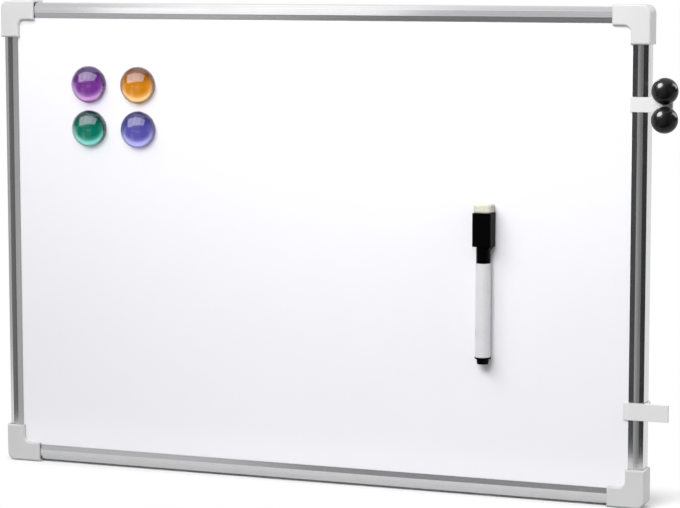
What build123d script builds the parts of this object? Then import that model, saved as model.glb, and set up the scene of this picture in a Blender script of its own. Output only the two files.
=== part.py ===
from build123d import *
from math import atan2, degrees, sqrt
import os

# Framed magnetic whiteboard with slide-on frame clips, ball magnets, glass magnets and a marker.
# Seen from the writing side, +X is right and +Z is up; +Y runs back to the wall, all in millimetres.
# The origin is the middle of the board in the plane of the corner caps' backs, which lie on the wall.

# --- Driving dimensions: frame ---
frame_width = 497.0  # over the outer sides of the rails
frame_height = 347.0
rail_face = 11.4  # width of a rail seen from the front
rail_depth = 13.0  # front to back
rail_wall = 1.1
front_lip = 1.4  # from the rail's front plane to the panel
back_lip = 1.4
panel_bite = 3.4  # how far the panel reaches in behind the lips
panel_play = 0.4  # from the panel's edge to the floor of the groove
outer_bevel_width = 3.5
outer_bevel_drop = 1.3
side_lean = 0.4  # how much the side leans in above its crease
side_crease_depth = 6.0
flute_width = 4.0  # shallow hollow along the middle of the face
flute_sag = 0.3
lip_edge = 0.5  # thickness left at the lip's inner edge
rail_back_radius = 0.8
chamber_front = 2.6  # from the rail's front plane to its hollow chamber

# --- Driving dimensions: panel ---
sheet_thickness = 0.4
backing_thickness = 0.3

# --- Driving dimensions: corner caps ---
cap_leg = 25.9  # length along the rail, from the frame's corner
cap_outer_proud = 1.5  # how far the cap stands out past the rail's side, inner edge, front and back
cap_inner_proud = 1.5
cap_front_proud = 1.9
cap_back_proud = 1.3
cap_outer_radius = 6.2
cap_inner_radius = 4.6
cap_edge_radius = 1.5  # edges round the front
cap_back_edge = 0.5
cap_sleeve_gap = 0.1  # clearance round the rail
rail_setback = 13.0  # from the frame's corner to the sawn end of the rail
tongue_length = 11.5
tongue_gap = 0.15
tongue_lead = 1.0  # bevel at the tip
keyhole_inset = 5.4  # from the frame's corner to the keyhole, along both rails
keyhole_radius = 3.2
keyhole_slot_radius = 1.7
keyhole_slot_run = 2.0  # towards the corner, measured along each rail
keyhole_skin = 1.8  # thickness of the wall that the screw's head hooks behind
keyhole_pocket = 4.2  # depth of the room behind that wall

# --- Driving dimensions: clips on the right-hand rail ---
clip_upper_height = 10.3
clip_lower_height = 12.0
clip_strip = 1.1  # thickness of the steel strip
clip_gap = 0.15  # clearance round the rail
clip_bend_radius = 0.3  # inside radius
clip_hook = 1.3  # how far the back end hooks round the rail
clip_upper_foot = 1.6  # how far the foot reaches past the rail, over the sheet
clip_lower_foot = 3.7
clip_foot_gap = 0.1  # clearance over the sheet
clip_tab = 17.6  # reach of the folded tab past the rail's side
clip_tab_root_radius = 1.0
clip_from_corner = 66.8  # from the frame's corner to the clip's middle, for both clips

# --- Driving dimensions: ball magnets ---
ball_radius = 9.25
ball_seat = 5.2  # from the ball's centre to its flat
ball_pitch = 19.6
ball_from_rail = 13.2  # from the rail's side to the ball's centre
ball_magnet_radius = 6.0
ball_magnet_thickness = 2.6

# --- Driving dimensions: glass magnets ---
dome_radius = 13.8
dome_edge = 1.2  # height of the straight edge below the dome
dome_rise = 9.2
dome_shoulder = 5.3  # radius where the edge turns over into the crown
foil_radius = 12.7
foil_thickness = 0.25
disc_radius = 10.5
disc_thickness = 2.4
dome_from_left = 60.6  # from the rail's inner edge to the first magnet's middle
dome_from_top = 48.9
dome_pitch_across = 40.1
dome_pitch_down = 32.8
dome_colours = (("purple", "amber"), ("green", "blue"))

# --- Driving dimensions: marker ---
block_width = 13.6
block_depth = 12.4
block_height = 23.6
block_radius = 0.8
block_from_right = 104.35  # from the rail's inner edge to the block's middle
block_top_above_middle = 28.7  # above the board's middle
barrel_offset = 0.3  # the barrel's axis lies this far left of the block's middle
gusset_height = 3.9
neck_radius = 4.95
neck_length = 8.0  # below the gusset
socket_radius = 4.3
socket_depth = 19.9
felt_height = 6.8
felt_inset = 0.25
pocket_gap = 0.05  # round the magnet pressed into the block
cap_magnet_radius = 4.1
cap_magnet_thickness = 2.0
cap_magnet_below_top = 7.9
barrel_radius = 5.45
barrel_wall = 1.0
barrel_length = 66.7
plug_flange = 1.1
plug_flange_proud = 0.3
plug_tip_length = 3.9
plug_tip_radius = 4.5
plug_tip_taper = 0.5
plug_spigot = 7.0
holder_gap = 0.05  # between what is pushed into the barrel and its bore
holder_spigot = 10.5
holder_nose = 13.1
holder_nose_radius = 4.0
holder_tip_radius = 2.2
nib_radius = 1.15
nib_stand_out = 3.1
nib_tail = 17.5
reservoir_gap = 0.2

# --- Places worked out from them ---
half_width = frame_width / 2
half_height = frame_height / 2
rail_front = -(cap_back_proud + rail_depth)
groove_floor = rail_face - panel_bite - panel_play
chamber_end = groove_floor - rail_wall
chamber_back = rail_depth - rail_wall
panel_thickness = rail_depth - front_lip - back_lip
core_thickness = panel_thickness - sheet_thickness - backing_thickness
panel_width = frame_width - 2 * (rail_face - panel_bite)
panel_height = frame_height - 2 * (rail_face - panel_bite)
sheet_face = rail_front + front_lip
flute_start = outer_bevel_width
flute_end = outer_bevel_width + flute_width

IN_FRONT = (0, -1, 0)
BEHIND = (0, 1, 0)
RIGHT = (1, 0, 0)
LEFT = (-1, 0, 0)
UP = (0, 0, 1)
DOWN = (0, 0, -1)


def save(part, name):
    """Label a finished piece and write it as its own STEP file."""
    part.label = name
    export_step(part, f"parts/{name}.step")


def face_plane(x, y, z):
    """Plane parallel to the board, seen from the front: local X right, Y up, Z towards the writer."""
    return Plane(origin=(x, y, z), x_dir=RIGHT, z_dir=IN_FRONT)


def across_plane(x, y, z):
    """Plane level with the floor: local X right, local Y towards the writer, for magnets' profiles."""
    return Plane(origin=(x, y, z), x_dir=RIGHT, z_dir=DOWN)


# Each side of the frame starts at one corner, seen from the front: the top at the upper left, and on
# clockwise.  Along = the way the rail runs, inward = from the rail's outer side to the board's middle.
sides = {
    "top": ((-half_width, half_height), RIGHT, DOWN, frame_width),
    "right": ((half_width, half_height), DOWN, LEFT, frame_height),
    "bottom": ((half_width, -half_height), LEFT, UP, frame_width),
    "left": ((-half_width, -half_height), UP, RIGHT, frame_height),
}
cap_names = {"top": "top_left", "right": "top_right", "bottom": "bottom_right", "left": "bottom_left"}


# --- Rails: one extrusion, with a beveled and fluted face, a chamber and the panel's groove ---
def make_rail(corner, along, inward, length):
    """Rail between two caps.  Local X runs inward from its outer side, local Y back from its face."""
    start = Plane(origin=(corner[0], rail_front, corner[1]), x_dir=inward, z_dir=along)
    with BuildPart() as rail:
        with BuildSketch(start.offset(rail_setback)):
            with BuildLine():
                outer = Polyline(
                    (flute_start, 0),
                    (side_lean, outer_bevel_drop),
                    (0, side_crease_depth),
                    (0, rail_depth),
                    (rail_face, rail_depth),
                    (rail_face, rail_depth - back_lip),
                    (groove_floor, rail_depth - back_lip),
                    (groove_floor, front_lip),
                    (rail_face, front_lip),
                    (rail_face, front_lip - lip_edge),
                    (flute_end, 0),
                )
                ThreePointArc(outer @ 1, ((flute_start + flute_end) / 2, flute_sag), outer @ 0)
            make_face()
            back_corner = vertices().sort_by_distance((0, rail_depth))[0]
            fillet(back_corner, rail_back_radius)
            with Locations((rail_wall, chamber_front)):
                Rectangle(
                    chamber_end - rail_wall,
                    chamber_back - chamber_front,
                    align=(Align.MIN, Align.MIN),
                    mode=Mode.SUBTRACT,
                )
        extrude(amount=length - 2 * rail_setback)
    return rail.part


# --- Corner caps: a sleeve over two rail ends, a tongue in each chamber and a keyhole behind ---
def make_cap(corner, along, inward):
    """Cap at a corner.  Local X runs along this side, local Y along the other, Z back to the wall."""
    outside = Plane(origin=(corner[0], rail_front, corner[1]), x_dir=along, z_dir=BEHIND)
    other_rail = Plane(origin=outside.origin, x_dir=along, z_dir=inward)
    this_rail = Plane(origin=outside.origin, x_dir=inward, z_dir=along)
    leg_width = cap_outer_proud + rail_face + cap_inner_proud
    leg_reach = cap_outer_proud + cap_leg
    depth = cap_front_proud + rail_depth + cap_back_proud
    low = (Align.MIN, Align.MIN)
    sleeve = rail_face + 2 * cap_sleeve_gap
    sleeve_depth = rail_depth + 2 * cap_sleeve_gap
    panel_corner = rail_face - panel_bite - cap_sleeve_gap
    tongue = (rail_wall + tongue_gap, chamber_front + tongue_gap)
    tongue_width = chamber_end - rail_wall - 2 * tongue_gap
    tongue_depth = chamber_back - chamber_front - 2 * tongue_gap
    with BuildPart() as cap:
        with BuildSketch(outside.offset(-cap_front_proud)):
            with Locations((-cap_outer_proud, -cap_outer_proud)):
                Rectangle(leg_reach, leg_width, align=low)
                Rectangle(leg_width, leg_reach, align=low)
            heel = (-cap_outer_proud, -cap_outer_proud)
            crook = (rail_face + cap_inner_proud, rail_face + cap_inner_proud)
            fillet(vertices().sort_by_distance(heel)[0], cap_outer_radius)
            fillet(vertices().sort_by_distance(crook)[0], cap_inner_radius)
        extrude(amount=depth)
        fillet(faces().sort_by(Axis.Y)[0].edges(), cap_edge_radius)
        chamfer(faces().sort_by(Axis.Y)[-1].edges(), cap_back_edge)
        # Room for both rails and for the panel's corner between the front and back walls.
        for rail_plane in (this_rail, other_rail):
            with BuildSketch(rail_plane.offset(rail_setback)):
                across = -1 if rail_plane.y_dir.Y < 0 else 1
                with Locations((rail_face / 2, across * rail_depth / 2)):
                    Rectangle(sleeve, sleeve_depth)
            extrude(amount=leg_reach, mode=Mode.SUBTRACT)
        with BuildSketch(outside.offset(front_lip - cap_sleeve_gap)):
            with Locations((panel_corner, panel_corner)):
                Rectangle(leg_reach, leg_reach, align=low)
        extrude(amount=panel_thickness + 2 * cap_sleeve_gap, mode=Mode.SUBTRACT)
        # Tongues that slide into the rails' chambers.
        for rail_plane in (this_rail, other_rail):
            across = -1 if rail_plane.y_dir.Y < 0 else 1
            middle = (tongue[0] + tongue_width / 2, across * (tongue[1] + tongue_depth / 2))
            with BuildSketch(rail_plane.offset(rail_setback)):
                with Locations(middle):
                    Rectangle(tongue_width, tongue_depth)
            extrude(amount=tongue_length - tongue_lead)
            tip = rail_plane.offset(rail_setback + tongue_length - tongue_lead)
            with BuildSketch(tip):
                with Locations(middle):
                    Rectangle(tongue_width, tongue_depth)
            with BuildSketch(tip.offset(tongue_lead)):
                with Locations(middle):
                    Rectangle(tongue_width - 2 * tongue_lead, tongue_depth - 2 * tongue_lead)
            loft()
        # Keyhole: a round entry and a slot towards the corner, with room behind for the screw's head.
        slot_end = keyhole_inset - keyhole_slot_run
        wall_face = outside.offset(rail_depth + cap_back_proud)
        with BuildSketch(wall_face):
            with Locations((keyhole_inset, keyhole_inset)):
                Circle(keyhole_radius)
            with BuildLine():
                slide_way = Line((keyhole_inset, keyhole_inset), (slot_end, slot_end))
            SlotArc(slide_way, 2 * keyhole_slot_radius)
        extrude(amount=-keyhole_skin, mode=Mode.SUBTRACT)
        with BuildSketch(wall_face.offset(-keyhole_skin)):
            with BuildLine():
                head_way = Line((keyhole_inset, keyhole_inset), (slot_end, slot_end))
            SlotArc(head_way, 2 * keyhole_radius)
        extrude(amount=-keyhole_pocket, mode=Mode.SUBTRACT)
    return cap.part


# --- Panel: white steel sheet, fibreboard core and backing sheet, behind the rails' lips ---
def make_layer(front, thickness):
    """One full-size layer of the panel, from its front face's place along Y."""
    with BuildPart() as layer:
        with BuildSketch(Plane(origin=(0, front, 0), x_dir=RIGHT, z_dir=IN_FRONT)):
            Rectangle(panel_width, panel_height)
        extrude(amount=-thickness)
    return layer.part


# --- Clips: one strip bent round the right rail, with a folded tab level with the rail's face ---
def make_clip(middle, height, foot):
    """Clip round the right rail, centred on the middle.  Local X runs inward, local Y to the wall."""
    top = Plane(origin=(half_width, rail_front, middle + height / 2), x_dir=LEFT, z_dir=DOWN)
    lip = rail_face + clip_gap
    foot_back = front_lip - clip_foot_gap
    rear = rail_depth + clip_gap
    with BuildPart() as clip:
        with BuildSketch(top):
            with BuildLine():
                FilletPolyline(
                    (rail_face + foot, foot_back),
                    (lip, foot_back),
                    (lip, -clip_gap),
                    (-clip_gap, -clip_gap),
                    (-clip_gap, rear),
                    (lip, rear),
                    (lip, rear - clip_hook),
                    radius=clip_bend_radius,
                )
                offset(amount=clip_strip, side=Side.RIGHT)
            make_face()
            with Locations((-clip_gap, -clip_gap - clip_strip)):
                Rectangle(clip_tab - clip_gap, 2 * clip_strip, align=(Align.MAX, Align.MIN))
            tab_end = vertices().group_by(Axis.X)[0]
            fillet(tab_end, 0.98 * clip_strip)
            root = vertices().sort_by_distance((-clip_gap - clip_strip, clip_strip - clip_gap))[0]
            fillet(root, clip_tab_root_radius)
        extrude(amount=height)
    return clip.part


# --- Ball magnets: a ball with a flat, and a magnet disc let into the flat ---
def make_ball(x, seat, z):
    """Ball and magnet on a seat's plane.  Returns the two pieces."""
    base = face_plane(x, seat, z)
    with BuildPart(base.offset(ball_seat)) as shell:
        Sphere(ball_radius)
        split(bisect_by=base, keep=Keep.TOP)
        with BuildSketch(base):
            Circle(ball_magnet_radius)
        extrude(amount=ball_magnet_thickness, mode=Mode.SUBTRACT)
    with BuildPart() as magnet:
        with BuildSketch(base):
            Circle(ball_magnet_radius)
        extrude(amount=ball_magnet_thickness)
    return shell.part, magnet.part


# --- Glass magnets: a domed glass, a coloured foil behind it and a magnet disc ---
def make_dome(x, z):
    """Glass, foil and disc of one magnet on the sheet.  Returns the three pieces."""
    base = face_plane(x, sheet_face, z)
    foil_back = disc_thickness
    glass_back = disc_thickness + foil_thickness
    spin = Axis((x, sheet_face, z), IN_FRONT)
    # The crown's centre is on the axis, as far down as makes it meet the shoulder smoothly.
    shoulder_centre = (dome_radius - dome_shoulder, dome_edge)
    crown_lift = dome_rise - dome_shoulder
    crown_drop = (shoulder_centre[0] ** 2 - crown_lift**2) / (2 * crown_lift)
    crown_radius = dome_rise + crown_drop
    turn = degrees(atan2(crown_drop, shoulder_centre[0]))
    with BuildPart() as glass:
        with BuildSketch(across_plane(x, sheet_face - glass_back, z)):
            with BuildLine():
                shoulder = CenterArc(shoulder_centre, dome_shoulder, 0, turn)
                crown = CenterArc((0, dome_edge - crown_drop), crown_radius, turn, 90 - turn)
                Polyline(shoulder @ 0, (dome_radius, 0), (0, 0), crown @ 1)
            make_face()
        revolve(axis=spin)
    with BuildPart() as foil:
        with BuildSketch(base.offset(foil_back)):
            Circle(foil_radius)
        extrude(amount=foil_thickness)
    with BuildPart() as disc:
        with BuildSketch(base):
            Circle(disc_radius)
        extrude(amount=disc_thickness)
    return glass.part, foil.part, disc.part


# --- Marker: a cap whose block holds an eraser and a magnet, and a barrel that pulls out of it ---
block_x = half_width - rail_face - block_from_right
pen_x = block_x - barrel_offset
pen_y = sheet_face - block_depth / 2
block_top = block_top_above_middle
block_bottom = block_top - block_height
neck_top = block_bottom - gusset_height
mouth = neck_top - neck_length
pen_axis = Axis((pen_x, pen_y, 0), UP)


def upright_plane(z):
    """Plane through the barrel's axis: local X is the radius, local Y the height above z."""
    return Plane(origin=(pen_x, pen_y, z), x_dir=RIGHT, z_dir=IN_FRONT)


def level_plane(z):
    """Level plane with its middle on the barrel's axis."""
    return Plane(origin=(pen_x, pen_y, z), x_dir=RIGHT, z_dir=UP)


def make_marker_cap():
    """Cap: block, gusset on the right and back, neck, socket for the barrel and magnet pocket."""
    reach_right = barrel_offset + block_width / 2
    root = neck_radius / sqrt(2)
    magnet_z = block_top - cap_magnet_below_top
    with BuildPart() as cap:
        with BuildSketch(level_plane(block_bottom)):
            with Locations((barrel_offset, 0)):
                RectangleRounded(block_width, block_depth, block_radius)
        extrude(amount=block_height)
        # The gusset grows out of the neck's round, to the block's right and back edges.
        with BuildSketch(level_plane(block_bottom)):
            with Locations((-root, -root)):
                Rectangle(
                    root + reach_right - block_radius,
                    root + block_depth / 2 - block_radius,
                    align=(Align.MIN, Align.MIN),
                )
        with BuildSketch(level_plane(neck_top)):
            Rectangle(2 * root, 2 * root)
        loft()
        with BuildSketch(level_plane(mouth)):
            Circle(neck_radius)
        extrude(amount=neck_length + gusset_height)
        with BuildSketch(level_plane(mouth)):
            Circle(socket_radius)
        extrude(amount=socket_depth, mode=Mode.SUBTRACT)
        with BuildSketch(face_plane(block_x, sheet_face, magnet_z)):
            Circle(cap_magnet_radius + pocket_gap)
        extrude(amount=cap_magnet_thickness, mode=Mode.SUBTRACT)
    with BuildPart() as magnet:
        with BuildSketch(face_plane(block_x, sheet_face, magnet_z)):
            Circle(cap_magnet_radius)
        extrude(amount=cap_magnet_thickness)
    with BuildPart() as felt:
        with BuildSketch(level_plane(block_top)):
            with Locations((barrel_offset, 0)):
                RectangleRounded(
                    block_width - 2 * felt_inset, block_depth - 2 * felt_inset, block_radius
                )
        extrude(amount=felt_height)
    return cap.part, magnet.part, felt.part


def make_barrel():
    """Barrel with its end plug, nib holder, nib and ink reservoir.  Returns the five pieces."""
    bore = barrel_radius - barrel_wall
    foot = mouth - barrel_length
    with BuildPart() as barrel:
        with BuildSketch(level_plane(foot)):
            Circle(barrel_radius)
            Circle(bore, mode=Mode.SUBTRACT)
        extrude(amount=barrel_length)
    spigot_radius = bore - holder_gap
    flange_radius = barrel_radius + plug_flange_proud
    with BuildPart() as plug:
        with BuildSketch(upright_plane(foot)):
            with BuildLine():
                Polyline(
                    (0, plug_spigot),
                    (spigot_radius, plug_spigot),
                    (spigot_radius, 0),
                    (flange_radius, 0),
                    (flange_radius, -plug_flange),
                    (plug_tip_radius, -plug_flange),
                    (plug_tip_radius - plug_tip_taper, -plug_flange - plug_tip_length),
                    (0, -plug_flange - plug_tip_length),
                    close=True,
                )
            make_face()
        revolve(axis=pen_axis)
    with BuildPart() as holder:
        with BuildSketch(upright_plane(mouth)):
            with BuildLine():
                Polyline(
                    (nib_radius, -holder_spigot),
                    (spigot_radius, -holder_spigot),
                    (spigot_radius, 0),
                    (holder_nose_radius, 0),
                    (holder_tip_radius, holder_nose),
                    (nib_radius, holder_nose),
                    close=True,
                )
            make_face()
        revolve(axis=pen_axis)
    with BuildPart() as nib:
        with BuildSketch(upright_plane(mouth + holder_nose)):
            with BuildLine():
                Polyline(
                    (0, nib_stand_out),
                    (nib_radius / 2, nib_stand_out),
                    (nib_radius, nib_stand_out - nib_radius),
                    (nib_radius, -nib_tail),
                    (0, -nib_tail),
                    close=True,
                )
            make_face()
        revolve(axis=pen_axis)
    with BuildPart() as reservoir:
        with BuildSketch(level_plane(foot + plug_spigot)):
            Circle(bore - reservoir_gap)
        extrude(amount=barrel_length - plug_spigot - holder_spigot)
    with BuildPart() as pierced:
        add(reservoir.part)
        add(nib.part, mode=Mode.SUBTRACT)
    return barrel.part, plug.part, holder.part, nib.part, pierced.part


# --- Build and write every piece ---
os.makedirs("parts", exist_ok=True)

for side, (corner, along, inward, length) in sides.items():
    save(make_rail(corner, along, inward, length), f"rail_{side}")
    save(make_cap(corner, along, inward), f"cap_{cap_names[side]}")

save(make_layer(sheet_face, sheet_thickness), "writing_sheet")
save(make_layer(sheet_face + sheet_thickness, core_thickness), "core_board")
save(make_layer(sheet_face + sheet_thickness + core_thickness, backing_thickness), "back_sheet")

clip_rise = half_height - clip_from_corner
save(make_clip(clip_rise, clip_upper_height, clip_upper_foot), "clip_upper")
save(make_clip(-clip_rise, clip_lower_height, clip_lower_foot), "clip_lower")

tab_face = rail_front - clip_gap - clip_strip
for ball_name, rise in (("ball_upper", ball_pitch / 2), ("ball_lower", -ball_pitch / 2)):
    ball_shell, ball_magnet = make_ball(half_width + ball_from_rail, tab_face, clip_rise + rise)
    save(ball_shell, f"{ball_name}_shell")
    save(ball_magnet, f"{ball_name}_magnet")

for row, colours in enumerate(dome_colours):
    for column, colour in enumerate(colours):
        dome_x = -half_width + rail_face + dome_from_left + column * dome_pitch_across
        dome_z = half_height - rail_face - dome_from_top - row * dome_pitch_down
        glass, foil, disc = make_dome(dome_x, dome_z)
        save(glass, f"{colour}_glass")
        save(foil, f"{colour}_foil")
        save(disc, f"{colour}_disc")

marker_pieces = zip(("marker_cap", "cap_magnet", "eraser_felt"), make_marker_cap())
barrel_pieces = zip(("marker_barrel", "end_plug", "nib_holder", "nib", "ink_reservoir"), make_barrel())
for name, piece in (*marker_pieces, *barrel_pieces):
    save(piece, name)
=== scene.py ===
"""Looks of a wall-hung magnetic whiteboard with frame clips, magnets and a marker.

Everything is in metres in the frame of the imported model: +X right and +Z up as seen from the writing
side, +Y back to the wall.  Each sub-assembly is a class that holds its sizes, builds its surfaces from
numpy grids and dresses its pieces, and each finish is a frozen dataclass that paints one material.
"""

import logging
import math
from dataclasses import dataclass, field
from enum import Enum

import bmesh
import bpy
import numpy as np
from mathutils import Matrix, Quaternion, Vector
from mathutils.geometry import tessellate_polygon


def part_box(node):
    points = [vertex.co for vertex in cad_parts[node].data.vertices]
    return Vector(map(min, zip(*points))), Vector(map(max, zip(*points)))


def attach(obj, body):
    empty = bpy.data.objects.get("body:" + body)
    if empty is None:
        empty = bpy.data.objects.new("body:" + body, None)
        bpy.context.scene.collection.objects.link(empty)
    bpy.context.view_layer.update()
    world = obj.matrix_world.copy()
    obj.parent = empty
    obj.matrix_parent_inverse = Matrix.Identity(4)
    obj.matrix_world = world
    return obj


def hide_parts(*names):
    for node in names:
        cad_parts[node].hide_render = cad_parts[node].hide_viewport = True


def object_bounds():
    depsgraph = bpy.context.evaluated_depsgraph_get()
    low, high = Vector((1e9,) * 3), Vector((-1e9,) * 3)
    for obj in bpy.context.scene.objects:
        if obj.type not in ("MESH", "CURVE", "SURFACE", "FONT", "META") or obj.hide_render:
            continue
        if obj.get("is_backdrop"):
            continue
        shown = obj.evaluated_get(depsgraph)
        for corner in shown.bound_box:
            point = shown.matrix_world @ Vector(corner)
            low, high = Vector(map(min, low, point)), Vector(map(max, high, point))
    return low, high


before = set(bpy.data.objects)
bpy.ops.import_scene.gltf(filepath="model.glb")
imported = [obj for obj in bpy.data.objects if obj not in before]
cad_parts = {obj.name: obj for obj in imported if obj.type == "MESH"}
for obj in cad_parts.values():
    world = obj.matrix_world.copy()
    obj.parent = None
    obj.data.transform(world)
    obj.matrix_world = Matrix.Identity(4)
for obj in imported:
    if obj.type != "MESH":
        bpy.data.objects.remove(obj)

Array = np.ndarray
Socket = bpy.types.NodeSocket
Material = bpy.types.Material
Colour = tuple[float, float, float]
Point = tuple[float, float, float]
Span = tuple[float, float]

LOG = logging.getLogger("whiteboard")
SEED = 7
RIGHT, BACK, UP = np.eye(3)
WELD_DISTANCE = 2e-6
SLIVER = 1e-7
NOISE_ROUGHNESS = 0.55
QUARTER_TURN = 0.25
WHITE: Colour = (1.0, 1.0, 1.0)
SKY_WHITE: Colour = (0.86, 0.86, 1.0)
COOL_WHITE: Colour = (0.98, 0.97, 1.0)
TOP_RAIL_AIM: Point = (0.0, 0.0, 0.17)
GLASS_AIM: Point = (-0.1565, -0.022, 0.097)
BALL_AIM: Point = (0.2617, -0.0207, 0.1067)
TOP_RAIL = ("rail_top_drawn",)
GLASSES = ("purple_glass", "amber_glass", "green_glass", "blue_glass")
BALLS = ("ball_upper_shell", "ball_lower_shell")


class Side(Enum):
    """The four sides of the frame, clockwise as seen from the writing side."""

    TOP = "top"
    RIGHT = "right"
    BOTTOM = "bottom"
    LEFT = "left"


class Run(Enum):
    """The row axis along which a rail was drawn."""

    ACROSS = 0
    UPRIGHT = 2


# --- Outlines and surfaces ---


@dataclass(frozen=True)
class Outline:
    """A closed outline in a plane, with the outward normal at each of its points."""

    points: Array
    normals: Array


def rounded(corners: Array, steps: int = 6) -> Outline:
    """Round every corner of a closed polygon with an arc that touches both of its sides.

    An arc starts radius * tan(turn / 2) before its corner.  Its normal turns in equal steps from that
    of the side before to that of the side after, and each point is centre + radius * normal, with the
    centre inside the polygon at an outward corner and outside it at an inward one.

    Args:
        corners: rows of (across, up, radius), anticlockwise.
        steps: number of steps along each arc.

    Returns:
        The outline, with (steps + 1) points for each corner.
    """
    corner, radius = corners[:, :2], corners[:, 2:]
    ahead = np.roll(corner, -1, 0) - corner
    ahead = ahead / np.linalg.norm(ahead, axis=1, keepdims=True)
    behind = np.roll(ahead, 1, 0)
    cross = behind[:, 0] * ahead[:, 1] - behind[:, 1] * ahead[:, 0]
    turn = np.arctan2(cross, (behind * ahead).sum(1))[:, None]
    first = np.stack([behind[:, 1], -behind[:, 0]], 1)
    reach = np.sign(turn) * radius
    centre = corner - behind * radius * np.tan(np.abs(turn) / 2) - reach * first
    angle = turn * np.linspace(0.0, 1.0, steps + 1)
    cosine, sine = np.cos(angle), np.sin(angle)
    across = first[:, :1] * cosine - first[:, 1:] * sine
    up = first[:, :1] * sine + first[:, 1:] * cosine
    normals = np.stack([across, up], -1)
    points = centre[:, None, :] + reach[:, None, :] * normals
    return Outline(points.reshape(-1, 2), normals.reshape(-1, 2))


def rounded_box(low: Span, high: Span, radius: float, steps: int = 6) -> Outline:
    """Round a rectangle between a low and a high corner, starting at its lower right."""
    corners = [(high[0], low[1]), (high[0], high[1]), (low[0], high[1]), (low[0], low[1])]
    return rounded(np.array([(*corner, radius) for corner in corners]), steps)


def eased_ends(length: float, edge: float, steps: int = 4) -> Array:
    """Stations along an extrusion whose two end edges are quarter circles.

    At angle a the end has height edge * (1 - cos a) and inset edge * (1 - sin a), so that it runs from
    the flat end into the full outline.

    Args:
        length: whole length of the extrusion.
        edge: radius of its end edges.
        steps: number of steps round each quarter circle.

    Returns:
        Rows of (height, inset), half of them for each end.
    """
    angle = np.linspace(0.0, math.pi / 2, steps + 1)
    near = np.column_stack([edge * (1 - np.cos(angle)), edge * (1 - np.sin(angle))])
    far = np.column_stack([length - near[::-1, 0], near[::-1, 1]])
    return np.concatenate([near, far])


@dataclass(frozen=True)
class Stand:
    """Axes that a local shape is placed by: origin + a * u + b * v + c * w."""

    origin: Array
    u: Array
    v: Array
    w: Array

    def place(self, a: Array, b: Array, c: Array) -> Array:
        """Return the points of local coordinates that can be spread to one common shape."""
        parts = [np.asarray(part, float)[..., None] for part in np.broadcast_arrays(a, b, c)]
        return self.origin + parts[0] * self.u + parts[1] * self.v + parts[2] * self.w

    def carried(self, outline: Outline, stations: Array) -> Array:
        """Carry an outline along w: row j is the outline at height j, inset by inset j."""
        plane = outline.points[None] - stations[:, 1, None, None] * outline.normals[None]
        return self.place(plane[..., 0], plane[..., 1], stations[:, :1])


@dataclass
class Skin:
    """The vertices and faces of one piece, gathered patch by patch."""

    vertices: list[Array] = field(default_factory=list)
    faces: list[list[int]] = field(default_factory=list)

    def _take(self, points: Array) -> int:
        """Keep more points and return the number of the first of them."""
        self.vertices.append(points.reshape(-1, 3))
        return sum(len(kept) for kept in self.vertices[:-1])

    def patch(self, points: Array) -> "Skin":
        """Add a grid of points, joined by quads and closed into a loop along its rows.

        Args:
            points: the grid, as (row, column, coordinate).

        Returns:
            The skin itself.
        """
        rows, columns = points.shape[:2]
        index = np.arange(rows * columns).reshape(rows, columns) + self._take(points)
        index = np.concatenate([index, index[:, :1]], 1)
        quads = np.stack([index[:-1, :-1], index[:-1, 1:], index[1:, 1:], index[1:, :-1]], -1)
        self.faces += quads.reshape(-1, 4).tolist()
        return self

    def lid(self, *loops: Array) -> "Skin":
        """Close a flat end between loops of points.

        Args:
            loops: the outer loop, and then any inner loops.

        Returns:
            The skin itself.
        """
        start = self._take(np.concatenate(loops))
        triangles = np.array(tessellate_polygon([[Vector(point) for point in loop] for loop in loops]))
        self.faces += (triangles + start).tolist()
        return self

    def solid(self, grid: Array) -> "Skin":
        """Add a closed extrusion: a grid's side and a lid over its first and last rows."""
        return self.patch(grid).lid(grid[0]).lid(grid[-1])

    def piece(self, name: str, material: Material, body: str, sharp: float = 40.0) -> bpy.types.Object:
        """Make the object, weld its seams, shade it smooth and let it ride on a body.

        Args:
            name: name of the piece.
            material: its only material.
            body: the body that it moves with.
            sharp: edges that turn by more than this many degrees stay sharp.

        Returns:
            The finished object, at the origin.
        """
        mesh = bpy.data.meshes.new(name)
        mesh.from_pydata(np.concatenate(self.vertices).tolist(), [], self.faces)
        work = bmesh.new()
        work.from_mesh(mesh)
        bmesh.ops.remove_doubles(work, verts=work.verts, dist=WELD_DISTANCE)
        bmesh.ops.dissolve_degenerate(work, edges=work.edges, dist=SLIVER)
        bmesh.ops.recalc_face_normals(work, faces=work.faces)
        work.to_mesh(mesh)
        work.free()
        mesh.shade_smooth()
        mesh.set_sharp_from_angle(angle=math.radians(sharp))
        mesh.materials.append(material)
        item = bpy.data.objects.new(name, mesh)
        bpy.context.scene.collection.objects.link(item)
        weighted = item.modifiers.new("weighted", "WEIGHTED_NORMAL")
        weighted.keep_sharp = True
        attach(item, body)
        LOG.info("%s: %d faces on %s", name, len(mesh.polygons), body)
        return item


# --- Shader maths ---


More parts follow.
